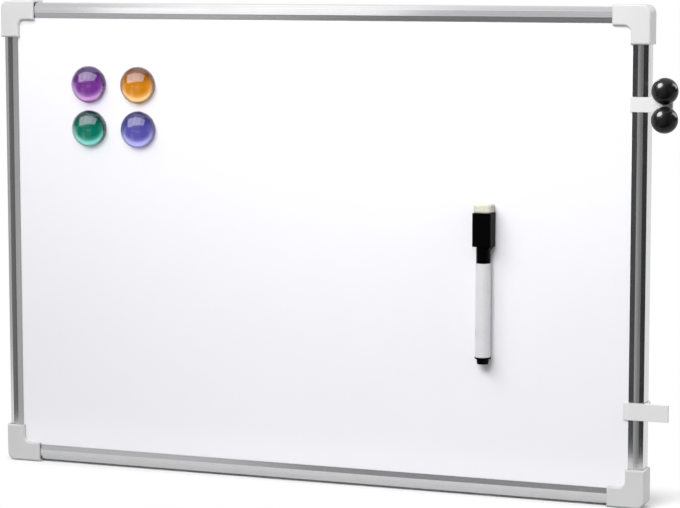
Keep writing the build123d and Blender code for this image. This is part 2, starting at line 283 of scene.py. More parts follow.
class Shade:
    """A shader socket that Python's own operators work on."""

    def __init__(self, graph: "Graph", socket: Socket) -> None:
        """Keep the socket and the graph that its Math nodes go into."""
        self.graph = graph
        self.socket = socket

    def _maths(self, operation: str, first: object, second: object) -> "Shade":
        """Add one Math node."""
        socket = self.graph.output("ShaderNodeMath", {0: first, 1: second}, {"operation": operation})
        return Shade(self.graph, socket)

    def __add__(self, other: object) -> "Shade":
        """Add."""
        return self._maths("ADD", self, other)

    def __sub__(self, other: object) -> "Shade":
        """Subtract."""
        return self._maths("SUBTRACT", self, other)

    def __rsub__(self, other: object) -> "Shade":
        """Subtract from a number."""
        return self._maths("SUBTRACT", other, self)

    def __mul__(self, other: object) -> "Shade":
        """Multiply."""
        return self._maths("MULTIPLY", self, other)

    def __pow__(self, other: object) -> "Shade":
        """Raise to a power."""
        return self._maths("POWER", self, other)

    __radd__ = __add__
    __rmul__ = __mul__

    def most(self, other: object) -> "Shade":
        """Return the larger of two values."""
        return self._maths("MAXIMUM", self, other)

    def size(self) -> "Shade":
        """Return the value without its sign."""
        return self._maths("ABSOLUTE", self, 0.0)

    def arcsine(self) -> "Shade":
        """Return the angle with this sine, in degrees."""
        return self._maths("ARCSINE", self, 0.0) * math.degrees(1.0)

    def arctangent(self, beside: "Shade") -> "Shade":
        """Return the angle whose tangent is this value over another, all round, in degrees."""
        return self._maths("ARCTAN2", self, beside) * math.degrees(1.0)

    def step(self, low: float, high: float) -> "Shade":
        """Rise smoothly from 0 at low to 1 at high, or fall where low is above high.

        Args:
            low: the value that gives 0.
            high: the value that gives 1.

        Returns:
            The smooth step.
        """
        sockets = {"Value": self, "From Min": min(low, high), "From Max": max(low, high)}
        settings = {"interpolation_type": "SMOOTHSTEP"}
        rise = Shade(self.graph, self.graph.output("ShaderNodeMapRange", sockets, settings))
        return rise if low < high else 1.0 - rise


def about(middle: float, *parts: tuple[Shade, float]) -> Shade:
    """Vary a value about its middle: middle + the sum of share * (noise - 1 / 2).

    Args:
        middle: the value in the middle.
        parts: each noise from 0 to 1, with its share.

    Returns:
        The varied value.
    """
    level = middle - sum(share for _, share in parts) / 2
    for noise, share in parts:
        level = level + noise * share
    return level


class Graph:
    """The node tree of a material or of the world, with short ways to fill it."""

    def __init__(self, tree: bpy.types.NodeTree) -> None:
        """Start from an empty tree."""
        self.tree = tree
        tree.nodes.clear()

    def node(self, kind: str, settings: dict | None = None, inputs: dict | None = None) -> bpy.types.Node:
        """Add a node, with its settings first and then the values or links of its sockets.

        Args:
            kind: the node's type.
            settings: attributes of the node.
            inputs: a number, colour, Shade or socket for each socket, by its name or number.

        Returns:
            The node.
        """
        node = self.tree.nodes.new(kind)
        for key, value in (settings or {}).items():
            setattr(node, key, value)
        for key, value in (inputs or {}).items():
            socket = node.inputs[key]
            if isinstance(value, Shade):
                self.tree.links.new(value.socket, socket)
            elif isinstance(value, Socket):
                self.tree.links.new(value, socket)
            elif isinstance(value, tuple) and socket.type == "RGBA":
                socket.default_value = (*value, 1.0)
            else:
                socket.default_value = value
        return node

    def output(self, kind: str, inputs: dict, settings: dict | None = None) -> Socket:
        """Add a node and return its first output."""
        return self.node(kind, settings, inputs).outputs[0]

    def place(self) -> Socket:
        """Return the Object coordinates."""
        return self.node("ShaderNodeTexCoord").outputs["Object"]

    def ray(self, kind: str) -> Shade:
        """Return 1 for rays of one kind, such as Camera or Glossy, and 0 for all others."""
        return Shade(self, self.node("ShaderNodeLightPath").outputs[f"Is {kind} Ray"])

    def parts(self, vector: Socket) -> tuple[Shade, Shade, Shade]:
        """Split a vector into its three values."""
        outputs = self.node("ShaderNodeSeparateXYZ", inputs={0: vector}).outputs
        return Shade(self, outputs[0]), Shade(self, outputs[1]), Shade(self, outputs[2])

    def stretched(self, scale: float | Point, centre: Point = (0.0, 0.0, 0.0)) -> Socket:
        """Measure Object coordinates from a centre and multiply them along each axis.

        Args:
            scale: one factor for all three axes, or one for each.
            centre: the point that becomes the origin.

        Returns:
            The vector.
        """
        factors = scale if isinstance(scale, tuple) else (scale,) * 3
        sockets = {0: self.place(), 1: centre}
        moved = self.output("ShaderNodeVectorMath", sockets, {"operation": "SUBTRACT"})
        return self.output("ShaderNodeVectorMath", {0: moved, 1: factors}, {"operation": "MULTIPLY"})

    def noise(self, density: float | Point, detail: float = 3.0) -> Shade:
        """Make noise from 0 to 1.

        Args:
            density: cells to a metre, the same along all axes or one number for each.
            detail: number of finer octaves.

        Returns:
            The noise.
        """
        sockets = {"Scale": 1.0, "Detail": detail, "Roughness": NOISE_ROUGHNESS}
        node = self.node("ShaderNodeTexNoise", inputs={"Vector": self.stretched(density), **sockets})
        return Shade(self, node.outputs["Fac"])

    def mixed(self, factor: Shade, low: Colour | Socket, high: Colour | Socket) -> Socket:
        """Mix two colours, which a Mix node takes at sockets 6 and 7 and gives at output 2."""
        settings = {"data_type": "RGBA", "clamp_factor": True}
        return self.node("ShaderNodeMix", settings, {0: factor, 6: low, 7: high}).outputs[2]

    def bump(self, height: Shade, depth: float) -> Socket:
        """Turn a height from 0 to 1 into a normal, with its full depth in metres."""
        return self.output("ShaderNodeBump", {"Height": height, "Distance": depth})

    def mixed_shaders(self, factor: Shade, low: Socket, high: Socket) -> Socket:
        """Mix two shaders."""
        return self.output("ShaderNodeMixShader", {0: factor, 1: low, 2: high})


# --- Finishes ---


@dataclass(frozen=True)
class Finish:
    """What every finish shares: a principled shader with its fixed numbers on its own sockets."""

    colour: Colour
    roughness: float

    def tones(self, low: float, high: float) -> tuple[Colour, Colour]:
        """Return the colour at two levels, with no channel past white."""
        first, second = (tuple(min(part * share, 1.0) for part in self.colour) for share in (low, high))
        return first, second

    def fixed(self) -> dict[str, object]:
        """Return the shader's fixed sockets."""
        return {"Base Color": self.colour, "Roughness": self.roughness}

    def varying(self, graph: Graph) -> dict[str, object]:
        """Return the sockets that change over the surface."""
        return {}

    def surface(self, graph: Graph, shader: Socket) -> Socket:
        """Return what the material puts out."""
        return shader

    def material(self, name: str) -> Material:
        """Make the material.

        Args:
            name: its name.

        Returns:
            The material, with its nodes made.
        """
        made = bpy.data.materials.new(name)
        made.use_nodes = True
        graph = Graph(made.node_tree)
        sockets = {**self.fixed(), **self.varying(graph)}
        surface = self.surface(graph, graph.output("ShaderNodeBsdfPrincipled", sockets))
        graph.node("ShaderNodeOutputMaterial", {"is_active_output": True}, {"Surface": surface})
        return made


@dataclass(frozen=True)
class Enamel(Finish):
    """Baked white enamel on steel: a faint orange peel and a gloss that wiping has made uneven."""

    colour: Colour = (0.875, 0.865, 0.905)
    roughness: float = 0.2
    mottle: Span = (0.988, 1.012)
    mottle_density: float = 9.0
    wiping: float = 0.1
    wiping_density: Point = (14.0, 1.0, 90.0)
    peel_density: float = 420.0
    peel_depth: float = 6e-6

    def fixed(self) -> dict[str, object]:
        """Add the clear top coat."""
        return {**super().fixed(), "Coat Weight": 0.35, "Coat Roughness": 0.06}

    def varying(self, graph: Graph) -> dict[str, object]:
        """Mottle the colour, streak the gloss across the board and raise the orange peel.

        Args:
            graph: the material's nodes.

        Returns:
            The varying sockets.
        """
        cloud = graph.noise(self.mottle_density, 4.0)
        wiped = graph.noise(self.wiping_density)
        peel = graph.noise(self.peel_density, 2.0)
        return {
            "Base Color": graph.mixed(cloud, *self.tones(*self.mottle)),
            "Roughness": about(self.roughness, (wiped, self.wiping)),
            "Normal": graph.bump(peel, self.peel_depth),
        }


@dataclass(frozen=True)
class DrawnAluminium(Finish):
    """Satin anodised extrusion: fine die lines along its run, which stretch its reflections across."""

    colour: Colour = (0.66, 0.66, 0.67)
    roughness: float = 0.18
    run: Run = Run.ACROSS
    line_tones: Span = (0.93, 1.06)
    line_contrast: Span = (0.25, 0.75)
    line_depth: float = 5e-6
    coarse_density: Span = (900.0, 0.3)
    coarse_share: float = 0.6
    fine_density: Span = (6000.0, 1.5)
    fine_gloss: float = 0.08
    dull_density: float = 30.0
    dull_gloss: float = 0.06

    def fixed(self) -> dict[str, object]:
        """Add the metal and its reflection, stretched across the die lines."""
        turn = QUARTER_TURN if self.run is Run.ACROSS else 0.0
        return {**super().fixed(), "Metallic": 1.0, "Anisotropic": 0.85, "Anisotropic Rotation": turn}

    def varying(self, graph: Graph) -> dict[str, object]:
        """Draw coarse and fine die lines, and a few dull patches.

        Args:
            graph: the material's nodes.

        Returns:
            The varying sockets.
        """
        coarse = self._lines(graph, *self.coarse_density)
        fine = self._lines(graph, *self.fine_density)
        dull = graph.noise(self.dull_density)
        lines = coarse * self.coarse_share + fine * (1.0 - self.coarse_share)
        return {
            "Base Color": graph.mixed(lines.step(*self.line_contrast), *self.tones(*self.line_tones)),
            "Roughness": about(self.roughness, (fine, self.fine_gloss), (dull, self.dull_gloss)),
            "Normal": graph.bump(lines, self.line_depth),
        }

    def _lines(self, graph: Graph, across: float, along: float) -> Shade:
        """Return noise with one number of cells to a metre across the run and another along it."""
        density = tuple(along if axis == self.run.value else across for axis in range(3))
        return graph.noise(density, 2.0)


@dataclass(frozen=True)
class MouldedPlastic(Finish):
    """Injection-moulded plastic with a spark-eroded grain."""

    colour: Colour = (0.61, 0.605, 0.61)
    roughness: float = 0.42
    grain_density: float = 1400.0
    grain_depth: float = 9e-6
    grain_gloss: float = 0.06
    flow_density: float = 60.0
    flow_gloss: float = 0.04
    flow_tones: Span = (0.96, 1.03)
    coat: float = 0.0
    coat_roughness: float = 0.04
    see_through: float = 0.0
    seep: float = 0.002
    shine: float = 0.5

    def fixed(self) -> dict[str, object]:
        """Add a clear coat and the light that seeps in, where there are any."""
        return {
            **super().fixed(),
            "Coat Weight": self.coat,
            "Coat Roughness": self.coat_roughness,
            "Specular IOR Level": self.shine,
            "Subsurface Weight": self.see_through,
            "Subsurface Radius": (self.seep,) * 3,
        }

    def varying(self, graph: Graph) -> dict[str, object]:
        """Grain the surface and let the flow of the melt show in its tone.

        Args:
            graph: the material's nodes.

        Returns:
            The varying sockets.
        """
        grain = graph.noise(self.grain_density, 2.0)
        flow = graph.noise(self.flow_density)
        return {
            "Base Color": graph.mixed(flow, *self.tones(*self.flow_tones)),
            "Roughness": about(self.roughness, (grain, self.grain_gloss), (flow, self.flow_gloss)),
            "Normal": graph.bump(grain, self.grain_depth),
        }


@dataclass(frozen=True)
class Glass(Finish):
    """Clear tinted glass, which lets lamps shine through to the foil behind it."""

    roughness: float = 0.0

    def fixed(self) -> dict[str, object]:
        """Make the shader see-through and polished."""
        clear = {"Transmission Weight": 1.0, "IOR": 1.6, "Coat Weight": 1.0, "Coat Roughness": 0.0}
        return {**super().fixed(), **clear}

    def surface(self, graph: Graph, shader: Socket) -> Socket:
        """Let shadow rays through, dimmed by the tint."""
        tint = graph.output("ShaderNodeBsdfTransparent", {"Color": self.colour})
        return graph.mixed_shaders(graph.ray("Shadow"), shader, tint)


@dataclass(frozen=True)
class Foil(Finish):
    """Coloured foil behind a glass dome, with painted shade at its rim and at its top, and a painted glow
    low down where the dome would focus light.

    Lengths are in radii from the middle.  The painted glow grows with the distance from a point above the
    middle, so that it is a crescent along the lower rim.
    """

    roughness: float = 0.35
    # The painted shade tone and the painted glow tone, and where each of them falls.
    painted_shade_tone: Colour = field(kw_only=True)
    painted_glow_tone: Colour = field(kw_only=True)
    centre: Point = field(kw_only=True)
    radius: float = field(kw_only=True)
    painted_glow_above: float = 0.42
    painted_glow_span: Span = (0.78, 1.25)
    painted_rim_shade_span: Span = (0.8, 1.0)
    painted_top_shade_span: Span = (-0.1, 0.75)
    painted_top_shade_share: float = 0.8

    def varying(self, graph: Graph) -> dict[str, object]:
        """Paint shade by the distance from the middle, and a painted glow by the distance from a point
        above it.

        Args:
            graph: the material's nodes.

        Returns:
            The varying sockets.
        """
        across, _, up = graph.parts(graph.stretched(1.0 / self.radius, self.centre))
        # Painted glow: a pale crescent of focused light along the lower rim.
        raised = up - self.painted_glow_above
        painted_glow = ((across * across + raised * raised) ** 0.5).step(*self.painted_glow_span)
        # Painted shade: a dark ring round the rim.
        painted_rim_shade = ((across * across + up * up) ** 0.5).step(*self.painted_rim_shade_span)
        painted_lit = graph.mixed(painted_glow, self.colour, self.painted_glow_tone)
        # Painted shade over the top of the foil, then the painted rim shade over everything.
        painted_shaded = graph.mixed(up.step(*self.painted_top_shade_span) * self.painted_top_shade_share, painted_lit, self.painted_shade_tone)
        return {"Base Color": graph.mixed(painted_rim_shade, painted_shaded, self.painted_shade_tone)}


@dataclass(frozen=True)
class Felt(Finish):
    """Pressed wool felt: a matted tangle of fine fibres with a soft sheen."""

    colour: Colour = (0.70, 0.70, 0.59)
    roughness: float = 0.95
    level_density: Point = (900.0, 900.0, 5200.0)
    slanted_density: Point = (4200.0, 1500.0, 1100.0)
    level_share: float = 0.5
    tangle_tones: Span = (0.78, 1.12)
    tangle_contrast: Span = (0.3, 0.7)
    tangle_depth: float = 1.2e-4

    def fixed(self) -> dict[str, object]:
        """Add the sheen of loose fibres."""
        return {**super().fixed(), "Sheen Weight": 0.35, "Sheen Roughness": 0.5}

    def varying(self, graph: Graph) -> dict[str, object]:
        """Tangle two directions of fibre.

        Args:
            graph: the material's nodes.

        Returns:
            The varying sockets.
        """
        level = graph.noise(self.level_density)
        slanted = graph.noise(self.slanted_density)
        tangle = level * self.level_share + slanted * (1.0 - self.level_share)
        tone = graph.mixed(tangle.step(*self.tangle_contrast), *self.tones(*self.tangle_tones))
        return {"Base Color": tone, "Normal": graph.bump(tangle, self.tangle_depth)}


@dataclass(frozen=True)
class Zinc(Finish):
    """Zinc-coated steel with the dull spangle of its crystals."""

    colour: Colour = (0.56, 0.57, 0.58)
    roughness: float = 0.41
    tone_span: Span = (0.86, 1.12)
    spangle_density: float = 210.0
    spangle_share: float = 0.35
    spangle_gloss: float = 0.06
    roll_density: Point = (3.0, 900.0, 900.0)
    roll_share: float = 0.35
    roll_depth: float = 6e-6

    def fixed(self) -> dict[str, object]:
        """Add the metal."""
        return {**super().fixed(), "Metallic": 1.0}

    def varying(self, graph: Graph) -> dict[str, object]:
        """Tint each crystal and roll fine lines along the sheet.

        Args:
            graph: the material's nodes.

        Returns:
            The varying sockets.
        """
        sockets = {"Vector": graph.stretched(self.spangle_density), "Scale": 1.0}
        cells = graph.node("ShaderNodeTexVoronoi", inputs=sockets)
        crystal = graph.parts(cells.outputs["Color"])[0]
        rolled = graph.noise(self.roll_density, 2.0)
        tone = about(0.5, (crystal, self.spangle_share), (rolled, self.roll_share))
        return {
            "Base Color": graph.mixed(tone, *self.tones(*self.tone_span)),
            "Roughness": about(self.roughness, (crystal, self.spangle_gloss)),
            "Normal": graph.bump(rolled, self.roll_depth),
        }


@dataclass(frozen=True)
class Speckled(Finish):
    """A plain hidden stock, such as fibreboard, ferrite or ink-soaked fibre, with a speckle."""

    spread: float = 0.3
    speck_density: float = 700.0
    speck_depth: float = 3e-5

    def varying(self, graph: Graph) -> dict[str, object]:
        """Speckle the tone and roughen the surface a little.

        Args:
            graph: the material's nodes.

        Returns:
            The varying sockets.
        """
        specks = graph.noise(self.speck_density, 4.0)
        tone = graph.mixed(specks, *self.tones(1 - self.spread, 1 + self.spread))
        return {"Base Color": tone, "Normal": graph.bump(specks, self.speck_depth)}


FERRITE = Speckled((0.05, 0.05, 0.055), 0.6)


def dress(node: str, material: Material) -> None:
    """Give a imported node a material.

    Args:
        node: name of the node.
        material: its only material.
    """
    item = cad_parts[node]
    item.data.materials.clear()
    item.data.materials.append(material)
    LOG.info("%s wears %s", node, material.name)


# --- The board ---


@dataclass
class Panel:
    """The writing sheet, its core and the sheet behind them."""

    enamel: Enamel = Enamel()
    fibreboard: Speckled = Speckled((0.42, 0.29, 0.17), 0.85)
    zinc: Zinc = Zinc()

    def build(self) -> None:
        """Dress the three layers."""
        dress("writing_sheet", self.enamel.material("enamel"))
        dress("core_board", self.fibreboard.material("fibreboard"))
        dress("back_sheet", self.zinc.material("zinc"))


@dataclass
class RailFrame:
    """The four rails, drawn anew with their fluted face and softened edges."""

    body: str = "board"
    front_lip: float = 0.0014
    back_lip: float = 0.0014
    groove_floor: float = 0.0076
    wall: float = 0.0011
    chamber_front: float = 0.0026
    bevel_width: float = 0.0035
    bevel_drop: float = 0.0013
    side_lean: float = 0.0004
    crease_depth: float = 0.006
    crease_radius: float = 0.004
    flute_width: float = 0.004
    flute_sag: float = 0.00004
    lip_edge: float = 0.0005
    back_radius: float = 0.0008
    edge: float = 0.00016

    def section(self, face: float, depth: float) -> Outline:
        """Draw the rail's outer section, anticlockwise, with u inward and v back.

        The flute is one corner whose two sides touch both of the face's edges, rounded so far that its
        arc fills the width: the corner lies twice the sag behind the face.

        Args:
            face: width of the rail's face.
            depth: depth of the rail.

        Returns:
            The outline.
        """
        near, far = self.bevel_width, self.bevel_width + self.flute_width
        half = self.flute_width / 2 - 2 * self.edge
        tilt = math.atan2(2 * self.flute_sag, self.flute_width / 2)
        flute_radius = half / math.cos(tilt) / math.tan(tilt)
        corners = [
            (near, 0.0, self.edge),
            ((near + far) / 2, 2 * self.flute_sag, flute_radius),
            (far, 0.0, self.edge),
            (face, self.front_lip - self.lip_edge, self.edge),
            (face, self.front_lip, self.edge / 2),
            (self.groove_floor, self.front_lip, self.edge),
            (self.groove_floor, depth - self.back_lip, self.edge),
            (face, depth - self.back_lip, self.edge),
            (face, depth, self.edge),
            (0.0, depth, self.back_radius),
            (0.0, self.crease_depth, self.crease_radius),
            (self.side_lean, self.bevel_drop, 2 * self.edge),
        ]
        return rounded(np.array(corners))

    def chamber(self, depth: float) -> Outline:
        """Draw the section of the hollow chamber in a rail of some depth."""
        high = (self.groove_floor - self.wall, depth - self.wall)
        return rounded_box((self.wall, self.chamber_front), high, self.edge)

    def stand(self, side: Side, low: Vector, high: Vector) -> Stand:
        """Find the axes at a rail's first end, with u inward, v back and w along the rail.

        Args:
            side: the rail's side of the frame.
            low: the low corner of its box.
            high: the high corner of its box.

        Returns:
            The axes.
        """
        origin, inward, along = {
            Side.TOP: ((low.x, low.y, high.z), -UP, RIGHT),
            Side.RIGHT: ((high.x, low.y, high.z), -RIGHT, -UP),
            Side.BOTTOM: ((high.x, low.y, low.z), UP, -RIGHT),
            Side.LEFT: ((low.x, low.y, low.z), RIGHT, UP),
        }[side]
        return Stand(np.array(origin), inward, BACK, along)

    def build(self) -> None:
        """Build and dress the four rails."""
        for side in Side:
            run = Run.ACROSS if side in (Side.TOP, Side.BOTTOM) else Run.UPRIGHT
            low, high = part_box(f"rail_{side.value}")
            across, depth, up = high - low
            face, length = (up, across) if run is Run.ACROSS else (across, up)
            stand = self.stand(side, low, high)
            ends = np.array([(0.0, 0.0), (length, 0.0)])
            outer = stand.carried(self.section(face, depth), ends)
            inner = stand.carried(self.chamber(depth), ends)
            skin = Skin().patch(outer).patch(inner).lid(outer[0], inner[0]).lid(outer[1], inner[1])
            material = DrawnAluminium(run=run).material(f"aluminium_{side.value}")
            rail = skin.piece(f"rail_{side.value}_drawn", material, self.body)
            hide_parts(f"rail_{side.value}")


@dataclass
class CornerCaps:
    """The moulded corner caps."""

    nodes: tuple[str, ...] = ("cap_top_left", "cap_top_right", "cap_bottom_right", "cap_bottom_left")
    plastic: MouldedPlastic = MouldedPlastic(see_through=0.05)

    def build(self) -> None:
        """Dress the caps in one moulding grade."""
        plastic = self.plastic.material("cap_plastic")
        for node in self.nodes:
            dress(node, plastic)


# --- Clips ---


@dataclass
class FrameClips:
    """The two bent strips round the right-hand rail, with their bends and edges softened."""

    bodies: tuple[tuple[str, str], ...] = (("clip_upper", "upper_clip"), ("clip_lower", "lower_clip"))
    paint: MouldedPlastic = MouldedPlastic(
        (0.73, 0.725, 0.725), 0.38, grain_density=900.0, grain_depth=6e-6, coat=0.15
    )
    strip: float = 0.0011
    gap: float = 0.00015
    bend: float = 0.0003
    foot_front: float = 0.0013
    foot_edge: float = 0.0004
    hook: float = 0.0013
    edge: float = 0.0002
    cut_edge: float = 0.0003
    fold_edge: float = 0.00024
    tab_round: float = 0.00105
    root_radius: float = 0.001
    slit: float = 0.00005

    def section(self, rail_face: float, rail_depth: float, reach: float, foot: float) -> Outline:
        """Draw the bent strip seen from the end, anticlockwise, with u inward and v back.

        The tab is the strip folded flat on itself in the plane of the face, so a slit runs between its
        two layers almost to the fold at its end.

        Args:
            rail_face: width of the rail's face.
            rail_depth: depth of the rail.
            reach: how far the tab stands out past the rail's side.
            foot: how far the foot reaches past the rail's inner edge.

        Returns:
            The outline.
        """
        lip, rear = rail_face + self.gap, rail_depth + self.gap
        outer_bend = self.bend + self.strip
        outside, behind = -self.gap - self.strip, -self.gap + self.strip
        fold = -self.gap + 2 * self.slit
        tip = -reach + self.strip
        corners = [
            (-reach, outside, self.tab_round),
            (lip + self.strip, outside, outer_bend - self.edge),
            (lip + self.strip, self.foot_front - self.strip, self.edge / 2),
            (rail_face + foot, self.foot_front - self.strip, self.foot_edge),
            (rail_face + foot, self.foot_front, self.foot_edge),
            (lip, self.foot_front, self.cut_edge),
            (lip, -self.gap, self.bend),
            (tip, -self.gap, self.slit / 2),
            (tip, fold, self.slit / 2),
            (-self.gap, fold, self.fold_edge),
            (-self.gap, rear, self.bend),
            (lip, rear, self.bend),
            (lip, rear - self.hook, self.cut_edge),
            (lip + self.strip, rear - self.hook, self.cut_edge),
            (lip + self.strip, rear + self.strip, outer_bend),
            (outside, rear + self.strip, outer_bend),
            (outside, behind, self.root_radius),
            (-reach, behind, self.tab_round),
        ]
        return rounded(np.array(corners))

    def build(self) -> None:
        """Build and dress both clips."""
        paint = self.paint.material("clip_paint")
        rail_low, rail_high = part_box("rail_right")
        face, depth, _ = rail_high - rail_low
        for node, body in self.bodies:
            low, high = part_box(node)
            stand = Stand(np.array([rail_high.x, rail_low.y, high.z]), -RIGHT, BACK, -UP)
            outline = self.section(face, depth, high.x - rail_high.x, rail_low.x - low.x)
            skin = Skin().solid(stand.carried(outline, eased_ends(high.z - low.z, self.edge)))
            clip = skin.piece(f"{node}_strip", paint, body)
            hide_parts(node)


# --- Magnets ---


@dataclass
class BallMagnets:
    """Polished black balls, each with its magnet."""

    names: tuple[str, ...] = ("ball_upper", "ball_lower")
    gloss: MouldedPlastic = MouldedPlastic(
        (0.004, 0.004, 0.004), 0.2, grain_density=500.0, grain_depth=1e-6, shine=0.22
    )

    def build(self) -> None:
        """Dress the balls and their magnets."""
        gloss = self.gloss.material("black_gloss")
        ferrite = FERRITE.material("ball_ferrite")
        for name in self.names:
            dress(f"{name}_shell", gloss)
            dress(f"{name}_magnet", ferrite)


@dataclass(frozen=True)
class Tint:
    """The colours of one glass magnet: its glass, and its foil's middle, its painted shade at rim and top,
    and its painted glow.
    """

    glass: Colour
    body: Colour
    painted_shade_tone: Colour
    painted_glow_tone: Colour


@dataclass
class GlassMagnets:
    """Glass domes over coloured foils, on magnet discs."""

    # Each tint: the glass, the foil's middle, its painted shade tone and its painted glow tone.
    tints: tuple[tuple[str, Tint], ...] = (
        ("purple", Tint((0.94, 0.86, 0.98), (0.30, 0.07, 0.40), (0.07, 0.02, 0.15), (0.86, 0.58, 0.86))),
        ("amber", Tint((1.0, 0.93, 0.84), (0.76, 0.40, 0.012), (0.16, 0.03, 0.02), (1.0, 0.88, 0.5))),
        ("green", Tint((0.84, 0.96, 0.95), (0.0, 0.28, 0.19), (0.0, 0.02, 0.035), (0.32, 0.9, 0.84))),
        ("blue", Tint((0.90, 0.90, 0.99), (0.19, 0.17, 0.53), (0.05, 0.04, 0.20), (0.70, 0.70, 0.98))),
    )
    foil_share: float = 0.9

    def build(self) -> None:
        """Dress each magnet's glass, foil and disc."""
        ferrite = FERRITE.material("disc_ferrite")
        for colour, tint in self.tints:
            low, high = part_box(f"{colour}_foil")
            middle = tuple((low + high) / 2)
            radius = self.foil_share * (high.x - low.x) / 2
            foil = Foil(tint.body, painted_shade_tone=tint.painted_shade_tone, painted_glow_tone=tint.painted_glow_tone, centre=middle, radius=radius)
            dress(f"{colour}_glass", Glass(tint.glass).material(f"{colour}_glass"))
            dress(f"{colour}_foil", foil.material(f"{colour}_foil"))
            dress(f"{colour}_disc", ferrite)


# --- Marker ---


@dataclass
class Marker:
    """The marker with its block-shaped cap and felt eraser."""

    cap_body: str = "marker_cap"
    black: MouldedPlastic = MouldedPlastic((0.0012, 0.0011, 0.0013), 0.4, grain_depth=4e-6, shine=0.04)
    white: MouldedPlastic = MouldedPlastic((0.67, 0.67, 0.68), 0.28, grain_depth=3e-6, coat=0.2)
    ink: Speckled = Speckled((0.012, 0.012, 0.014), 0.8)
    felt_edge: float = 0.0016
    felt_edge_steps: int = 5
    felt_corner: float = 0.00256
    felt_corner_steps: int = 24
    felt_rows: int = 40
    felt_sharp: float = 80.0
    nap: float = 0.00012

    def felt(self) -> None:
        """Build the felt pad: a rounded block whose sides are ruffled.

        The pad is a rounded rectangle carried upwards with eased ends.  Each point of its sides then
        moves out or in by a seeded random share of the nap.
        """
        low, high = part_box("eraser_felt")
        size = high - low
        middle = (low + high) / 2
        x, y = size.x / 2 - self.nap, size.y / 2 - self.nap
        outline = rounded_box((-x, -y), (x, y), self.felt_corner, self.felt_corner_steps)
        near, far = np.split(eased_ends(size.z - self.nap, self.felt_edge, self.felt_edge_steps), 2)
        heights = np.linspace(near[-1, 0], far[0, 0], self.felt_rows)
        sides = np.column_stack([heights, np.zeros_like(heights)])
        stand = Stand(np.array([middle.x, middle.y, low.z]), RIGHT, BACK, UP)
        grid = stand.carried(outline, np.concatenate([near[:-1], sides, far[1:]]))
        ruffle = self.nap * np.random.default_rng(SEED).uniform(-1.0, 1.0, grid.shape[:2])
        outward = outline.normals[:, :1] * stand.u + outline.normals[:, 1:] * stand.v
        skin = Skin().solid(grid + ruffle[..., None] * outward)
        pad = skin.piece("eraser_felt_pad", Felt().material("cream_felt"), self.cap_body, self.felt_sharp)
        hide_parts("eraser_felt")

    def build(self) -> None:
        """Build the felt and dress the rest."""
        self.felt()
        black = self.black.material("black_plastic")
        ink = self.ink.material("ink_fibre")
        dress("cap_magnet", FERRITE.material("cap_ferrite"))
        dress("marker_barrel", self.white.material("barrel_plastic"))
        for node in ("marker_cap", "end_plug", "nib_holder"):
            dress(node, black)
        for node in ("nib", "ink_reservoir"):
            dress(node, ink)


# --- Studio ---


@dataclass(frozen=True)
class Softbox:
    """A flat lamp that lights a point of the board from a direction.

    Its direction is an azimuth, in degrees to the right of straight in front, and an elevation.
    """

    name: str
    direction: Span
    distance: float
    size: Span
    power: float
    aim: Point
    colour: Colour = WHITE
    mirrored_in: tuple[str, ...] = ()
    round: bool = False
    roll: float = 0.0

    def build(self) -> None:
        """Place the lamp, turned towards its aim.

        Its face is kept out of camera rays.  It lights every piece and is mirrored by none, or else it
        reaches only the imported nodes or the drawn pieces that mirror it.
        """
        data = bpy.data.lights.new(self.name, "AREA")
        data.shape = "ELLIPSE" if self.round else "RECTANGLE"
        data.size, data.size_y = self.size
        data.energy = self.power
        data.color = self.colour
        lamp = bpy.data.objects.new(self.name, data)
        azimuth, elevation = (math.radians(angle) for angle in self.direction)
        level = math.cos(elevation)
        away = Vector((math.sin(azimuth) * level, -math.cos(azimuth) * level, math.sin(elevation)))
        lamp.location = Vector(self.aim) + away * self.distance
        lamp.rotation_mode = "QUATERNION"
        rolled = Quaternion((0.0, 0.0, 1.0), math.radians(self.roll))
        lamp.rotation_quaternion = (-away).to_track_quat("-Z", "Y") @ rolled
        lamp.visible_camera = False
        lamp.visible_transmission = False
        lamp.visible_glossy = bool(self.mirrored_in)
        if self.mirrored_in:
            shiny = bpy.data.collections.new(f"{self.name}_mirrors")
            for name in self.mirrored_in:
                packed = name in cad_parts
                shiny.objects.link(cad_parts[name] if packed else bpy.data.objects[name])
            lamp.light_linking.receiver_collection = shiny
        bpy.context.scene.collection.objects.link(lamp)


@dataclass(frozen=True)
class Card:
    """A soft-edged card in the studio, which shiny pieces mirror, between azimuths and elevations.

    An azimuth is in degrees from the upright plane that is square to the board, positive to its right.
    """

    azimuths: Span
    elevations: Span
    level: float
    edge: float

    def _within(self, angle: Shade, span: Span) -> Shade:
        """Return 1 between two angles, falling to 0 over the soft edge beyond each."""
        low, high = span
        return angle.step(low - self.edge, low) * angle.step(high + self.edge, high)

    def seen(self, azimuth: Shade, elevation: Shade) -> Shade:
        """Return the card's brightness in a direction."""
        across, up = self._within(azimuth, self.azimuths), self._within(elevation, self.elevations)
        return across * up * self.level


